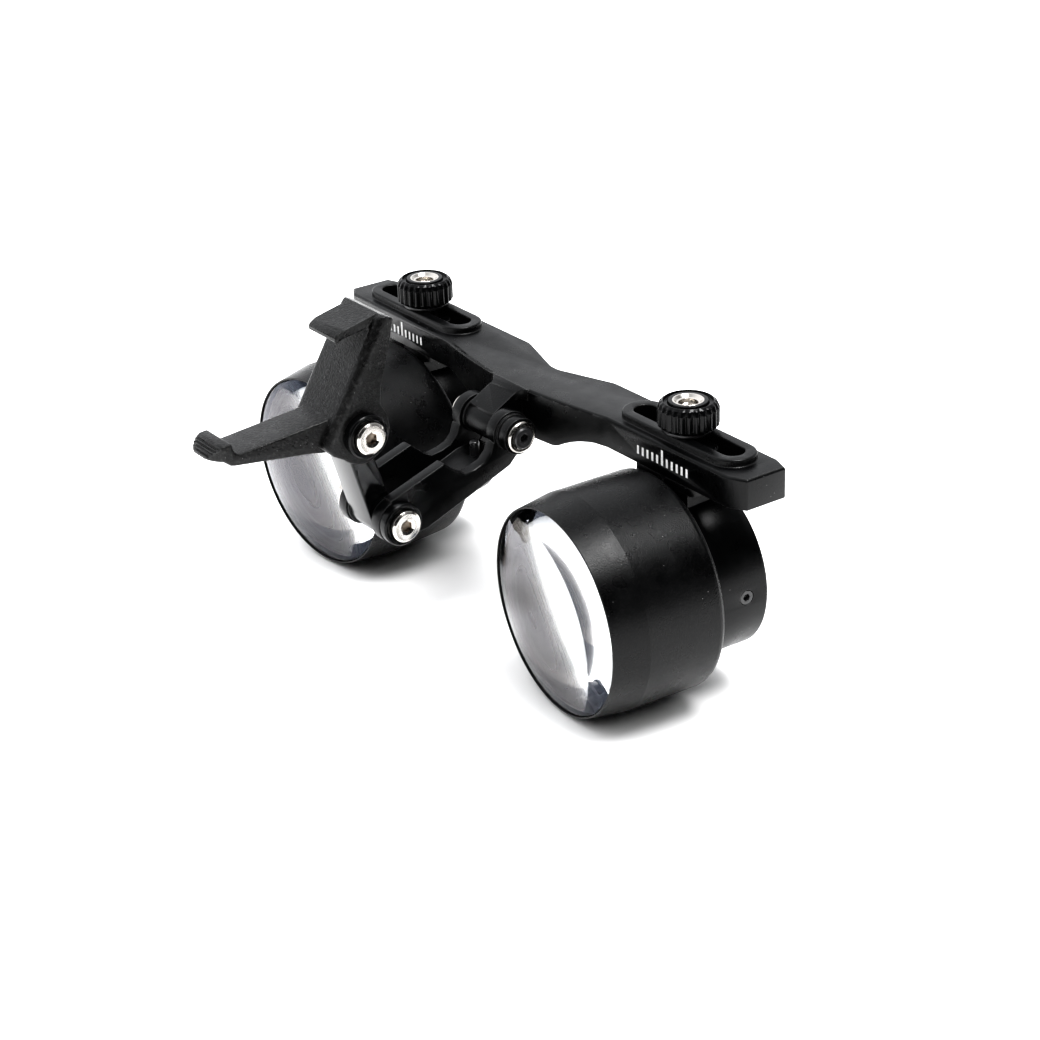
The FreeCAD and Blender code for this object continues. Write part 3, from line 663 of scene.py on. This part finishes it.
def make_gasket(side, materials):
    ring = [corner(GASKET_BACK, GASKET_BORE, 0.05), corner(GASKET_BACK, GLASS_RADIUS, 0.05),
            corner(GASKET_FRONT, GLASS_RADIUS, 0.05), corner(GASKET_FRONT, GASKET_BORE, 0.05)]
    stand_in(side + "_objective_gasket", lathe(ring, barrel_place(side), closed=True, turns=RING_TURNS),
             materials["black_rubber"])


def make_ocular_retainer(side, materials):
    ring = [corner(RETAINER_BACK, RETAINER_BORE, 0.08), corner(RETAINER_BACK, RETAINER_RADIUS, 0.05),
            corner(RETAINER_FRONT, RETAINER_RADIUS, 0.1), corner(RETAINER_FRONT, RETAINER_MOUTH, 0.05),
            corner(RETAINER_FRONT - RETAINER_CHAMFER, RETAINER_BORE)]
    stand_in(side + "_ocular_retainer", lathe(ring, barrel_place(side), closed=True, turns=RING_TURNS),
             materials["turned_black_anodise"])


# ---------------------------------------------------------------- clamp knobs
# Sizes in mm. A depth is below the knob's top.

KNOB_RADIUS = 4.1
KNOB_BORE = 1.8
KNOB_SHARP = 40               # degrees
FOOT_RADIUS, FOOT_HEIGHT = 3.45, 0.45
FLUTES = 24
FLUTE_TURNS = 8               # faces across each flute
FLUTE_DEPTH = 0.085           # share of the radius
FLUTE_SHARPNESS = 1.3         # above 1 the ribs are broader than the flutes
FLUTES_END = 0.95             # depth at which the flutes start to run out
SHOULDER_RADIUS, SHOULDER_DEPTH = 3.8, 0.3
CROWN_OUTER, CROWN_INNER, CROWN_DEPTH = 3.35, 3.3, 0.02
GROOVE_OUTER, GROOVE_INNER, GROOVE_DEPTH = 3.15, 2.75, 0.42
BOSS_RADIUS = 2.6

INSERT_RADIUS = 2.1
INSERT_BORE = 1.3
INSERT_SHANK = 1.78
INSERT_HEAD = 0.9             # its head's height
INSERT_RIM = 0.2
INSERT_GAP = 0.01
DISH_RADIUS, DISH_DEPTH = 1.55, 0.35
DISH_FLOOR = 0.42


def fluted(angle):
    """Narrow scallops between broad round ribs."""
    return 1 - FLUTE_DEPTH * (0.5 + 0.5 * math.cos(FLUTES * angle)) ** FLUTE_SHARPNESS


def half_fluted(angle):
    return 0.5 + 0.5 * fluted(angle)


def make_knob(side, materials):
    node = side + "_clamp_knob"
    bottom, top = span(node, 2)
    seat = INSERT_RADIUS + INSERT_GAP
    knob = [corner(bottom, KNOB_BORE), corner(bottom, FOOT_RADIUS, 0.12),
            corner(bottom + FOOT_HEIGHT, KNOB_RADIUS, 0.2, fluted),
            corner(top - FLUTES_END, KNOB_RADIUS, 0.35, fluted),
            corner(top - SHOULDER_DEPTH, SHOULDER_RADIUS, 0.3, half_fluted),
            corner(top - CROWN_DEPTH, CROWN_OUTER, 0.2), corner(top - CROWN_DEPTH, CROWN_INNER, 0.06),
            corner(top - GROOVE_DEPTH, GROOVE_OUTER, 0.06), corner(top - GROOVE_DEPTH, GROOVE_INNER, 0.06),
            corner(top, BOSS_RADIUS, 0.08), corner(top, seat), corner(top - INSERT_HEAD, seat),
            corner(top - INSERT_HEAD, KNOB_BORE)]
    stand_in(node, lathe(knob, upright(node), closed=True, turns=FLUTE_TURNS * FLUTES),
             materials["turned_black_anodise"], sharp=KNOB_SHARP)


def make_knob_insert(side, materials):
    node = side + "_knob_insert"
    bottom, top = span(node, 2)
    bush = [corner(bottom, INSERT_BORE), corner(bottom, INSERT_SHANK),
            corner(top - INSERT_HEAD, INSERT_SHANK), corner(top - INSERT_HEAD, INSERT_RADIUS),
            corner(top, INSERT_RADIUS, 0.06),
            corner(top, INSERT_RADIUS - INSERT_RIM, 0.05), corner(top - DISH_DEPTH, DISH_RADIUS, 0.05),
            corner(top - DISH_FLOOR, INSERT_BORE, 0.03)]
    stand_in(node, lathe(bush, upright(node), closed=True), materials["turned_steel"])


# ---------------------------------------------------------------- pivot screws
# Sizes in mm. Each head faces +X, and its depths are behind its face.

SCREW_SHARP = 28              # degrees
SHANK_RADIUS = 1.0
HEAD_RADIUS, HEAD_HEIGHT = 2.2, 1.4
HEAD_CHAMFER, HEAD_CHAMFER_DEPTH = 0.3, 0.28
MOUTH_RADIUS, SOCKET_MOUTH_DEPTH = 1.12, 0.22
SOCKET_APOTHEM, SOCKET_DEPTH = 0.75, 0.85
SOCKET_POINT = 0.25           # the drill's point at the bottom of the socket
OIL_REACH = 1.02              # times the apothem

COLLAR_RADIUS, COLLAR_BORE = 3.0, 1.02
COLLAR_CHAMFER = 0.2
CUP_RADIUS, CUP_FLOOR_RADIUS, CUP_DEPTH = 2.32, 2.3, 0.5

HINGE_HEAD_RADIUS, HINGE_HEAD_HEIGHT = 1.5, 1.3
HINGE_CHAMFER = 0.2
HINGE_MOUTH_RADIUS, HINGE_MOUTH_DEPTH = 0.8, 0.15
HINGE_APOTHEM, HINGE_SOCKET_DEPTH = 0.55, 0.8
HINGE_SOCKET_POINT = 0.2

STOP_RADIUS = 0.69
STOP_APOTHEM, STOP_SOCKET_DEPTH = 0.35, 0.8
STOP_TIP_ROUNDING = 0.35
STOP_CLEARANCE = 0.06         # its tip would meet the lug when the arm is swung over the bar


def oiled(point):
    """Whether old oil darkens this place in a pivot screw's head: the flats and the bottom of its socket."""
    return point.z > 0 and point.xy.length < OIL_REACH * SOCKET_APOTHEM


def make_pivot_screw(node, materials):
    low, high = span(node, 0)
    screw = [corner(low, 0), corner(low, SHANK_RADIUS, 0.1), corner(high - HEAD_HEIGHT, SHANK_RADIUS),
             corner(high - HEAD_HEIGHT, HEAD_RADIUS, 0.05),
             corner(high - HEAD_CHAMFER_DEPTH, HEAD_RADIUS, 0.08),
             corner(high, HEAD_RADIUS - HEAD_CHAMFER, 0.08), corner(high, MOUTH_RADIUS, 0.05),
             corner(high - SOCKET_MOUTH_DEPTH, SOCKET_APOTHEM, 0, hexagonal),
             corner(high - SOCKET_DEPTH, SOCKET_APOTHEM, 0, hexagonal),
             corner(high - SOCKET_DEPTH - SOCKET_POINT, 0)]
    place = crosswise(node)
    piece = stand_in(node, lathe(screw, place), materials["turned_steel"], sharp=SCREW_SHARP)
    finish_faces(piece, place, materials["oiled_steel"], oiled)


def make_pivot_collar(node, materials):
    low, high = span(node, 0)
    collar = [corner(low, COLLAR_BORE), corner(low, COLLAR_RADIUS, 0.08),
              corner(high - COLLAR_CHAMFER, COLLAR_RADIUS, 0.15),
              corner(high, COLLAR_RADIUS - COLLAR_CHAMFER, 0.12),
              corner(high, CUP_RADIUS, 0.06), corner(high - CUP_DEPTH, CUP_FLOOR_RADIUS),
              corner(high - CUP_DEPTH, COLLAR_BORE)]
    stand_in(node, lathe(collar, crosswise(node), closed=True, turns=RING_TURNS),
             materials["turned_black_anodise"])


def make_hinge_screw(materials):
    node = "top_hinge_screw"
    low, high = span(node, 0)
    screw = [corner(low, 0), corner(low, SHANK_RADIUS, 0.1), corner(high - HINGE_HEAD_HEIGHT, SHANK_RADIUS),
             corner(high - HINGE_HEAD_HEIGHT, HINGE_HEAD_RADIUS, 0.05),
             corner(high - HINGE_CHAMFER, HINGE_HEAD_RADIUS, 0.1),
             corner(high, HINGE_HEAD_RADIUS - HINGE_CHAMFER, 0.08), corner(high, HINGE_MOUTH_RADIUS, 0.04),
             corner(high - HINGE_MOUTH_DEPTH, HINGE_APOTHEM, 0, hexagonal),
             corner(high - HINGE_SOCKET_DEPTH, HINGE_APOTHEM, 0, hexagonal),
             corner(high - HINGE_SOCKET_DEPTH - HINGE_SOCKET_POINT, 0)]
    stand_in(node, lathe(screw, crosswise(node)), materials["black_steel"], sharp=SCREW_SHARP)


def make_stop_screw(materials):
    node = "stop_screw"
    bottom, top = span(node, 2)
    tip = top - STOP_CLEARANCE
    screw = [corner(bottom + STOP_SOCKET_DEPTH, 0),
             corner(bottom + STOP_SOCKET_DEPTH, STOP_APOTHEM, 0, hexagonal),
             corner(bottom, STOP_APOTHEM, 0, hexagonal), corner(bottom, STOP_RADIUS, 0.05),
             corner(tip, STOP_RADIUS, STOP_TIP_ROUNDING), corner(tip, 0)]
    stand_in(node, lathe(screw, upright(node)), materials["black_steel"], sharp=SCREW_SHARP)


# ---------------------------------------------------------------- the rest of the CAD nodes

SOFT_EDGE = {"cross_bar": 0.18, "frame_clip": 0.30, "carrier": 0.12, "left_scale": 0.0, "right_scale": 0.0}
SMALL_EDGE = 0.08             # mm, the width of rounding on every other node
ROUNDED_ABOVE = 30            # degrees, an edge that turns less stays as it is
ROUNDING_STEPS = 3
CRISP_MARGIN = 0.25           # mm, around a node near which edges stay sharp
WELD = 0.002                  # mm, between points of the CAD mesh that are one
FLAT = 0.5                    # degrees, between CAD triangles that are one face
STRAY_SHARE = 0.45            # a rounded corner stays this close to the CAD surface, as a share of its width
BLAME_SHARE = 0.5             # of the width: how near an edge is to a stray point to be blamed for it
MERGE = 0.0006                # mm, between points of the rounded mesh that are one


def flat_faced(node):
    """The CAD node's mesh with its triangles joined into whole faces."""
    bm = bmesh.new()
    bm.from_mesh(nodes[node].data)
    bmesh.ops.remove_doubles(bm, verts=bm.verts, dist=WELD * MM)
    bmesh.ops.dissolve_limit(bm, angle_limit=math.radians(FLAT), verts=bm.verts, edges=bm.edges)
    return bm


def within(edge, box, margin):
    """Whether an edge lies in a box that is larger by the margin on every side."""
    """Whether an edge lies in a box that is larger by the margin on every side."""
    return all(box[0][i] - margin < vert.co[i] < box[1][i] + margin for vert in edge.verts for i in range(3))


def gap_to(edge, point):
    """How far a point is from an edge."""
    start, end = (vert.co for vert in edge.verts)
    nearest, share = intersect_point_line(point, start, end)
    if share < 0 or share > 1:
        nearest = start if share < 0 else end
    return (nearest - point).length


def round_edges(node, width, kept_sharp, crisp_boxes):
    """The node's mesh with rounded edges, its CAD surface, and the edges whose rounding leaves it."""
    bm = flat_faced(node)
    surface = BVHTree.FromBMesh(bm)
    original = bm.copy()
    edges = [edge for edge in bm.edges
             if len(edge.link_faces) == 2 and edge.calc_face_angle() > math.radians(ROUNDED_ABOVE)
             and edge.index not in kept_sharp
             and not any(within(edge, box, CRISP_MARGIN * MM) for box in crisp_boxes)]
    bmesh.ops.bevel(bm, geom=edges, offset=width * MM, offset_type="OFFSET", segments=ROUNDING_STEPS,
                    profile=0.5, affect="EDGES", clamp_overlap=False)
    distances = [(vert.co.copy(), surface.find_nearest(vert.co)[3]) for vert in bm.verts]
    strays = [(point, far) for point, far in distances if far > STRAY_SHARE * width * MM]
    blamed = {edge.index for edge in original.edges
              if any(gap_to(edge, point) < far + BLAME_SHARE * width * MM for point, far in strays)}
    original.free()
    return bm, surface, blamed


def keep_to_surface(bm, surface, limit, mesh):
    """Points beyond the limit go back to the CAD surface, and none stays outside the CAD mesh's box."""
    low, high = ([choose(vert.co[i] for vert in mesh.vertices) for i in range(3)] for choose in (min, max))
    for vert in bm.verts:
        near, _, _, far = surface.find_nearest(vert.co)
        if far > limit:
            vert.co = near
        vert.co = [min(max(vert.co[i], low[i]), high[i]) for i in range(3)]


def softened(node, width, crisp=()):
    """A copy of a CAD node's mesh with its sharp edges rounded, width in mm.

    Edges close to the crisp nodes stay sharp, and so do edges whose rounding would leave the CAD surface.
    """
    crisp_boxes = [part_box(other) for other in crisp]
    kept_sharp = set()
    bm, surface, blamed = round_edges(node, width, kept_sharp, crisp_boxes)
    while not blamed <= kept_sharp:
        kept_sharp |= blamed
        bm.free()
        bm, surface, blamed = round_edges(node, width, kept_sharp, crisp_boxes)
    keep_to_surface(bm, surface, STRAY_SHARE * width * MM, nodes[node].data)
    bmesh.ops.remove_doubles(bm, verts=bm.verts, dist=MERGE * MM)
    bmesh.ops.dissolve_degenerate(bm, dist=MERGE * MM, edges=bm.edges)
    return bm


def carry_over(materials):
    """Every node that isn't replaced yet: rounded where it has a width, and as it is otherwise."""
    for node in sorted(nodes):
        if node in replaced:
            continue
        width = SOFT_EDGE.get(node, SMALL_EDGE)
        if width:
            crisp = [side + "_scale" for side in SIDES] if node == "cross_bar" else ()
            finish = "black_steel" if node.endswith("stud_washer") else slot_of[node]
            stand_in(node, softened(node, width, crisp=crisp), materials[finish])
        else:
            nodes[node].data.materials.clear()
            nodes[node].data.materials.append(materials[slot_of[node]])


make_camera()
make_lights()
make_surroundings()
make_floor()
finishes = make_materials()
for side in SIDES:
    make_bell(side, finishes)
    make_eyepiece_tube(side, finishes)
    make_glass(side + "_objective_front", side, GLASS_RADIUS, OBJECTIVE, finishes,
               also=(side + "_objective_rear",))
    make_gasket(side, finishes)
    make_ocular_retainer(side, finishes)
    make_knob(side, finishes)
    make_knob_insert(side, finishes)
    make_glass(side + "_ocular_lens", side, OCULAR_RADIUS, OCULAR, finishes)
for pivot in ("clip_pivot", "lower_pivot"):
    make_pivot_screw(pivot + "_screw", finishes)
    make_pivot_collar(pivot + "_collar", finishes)
make_hinge_screw(finishes)
make_stop_screw(finishes)
carry_over(finishes)
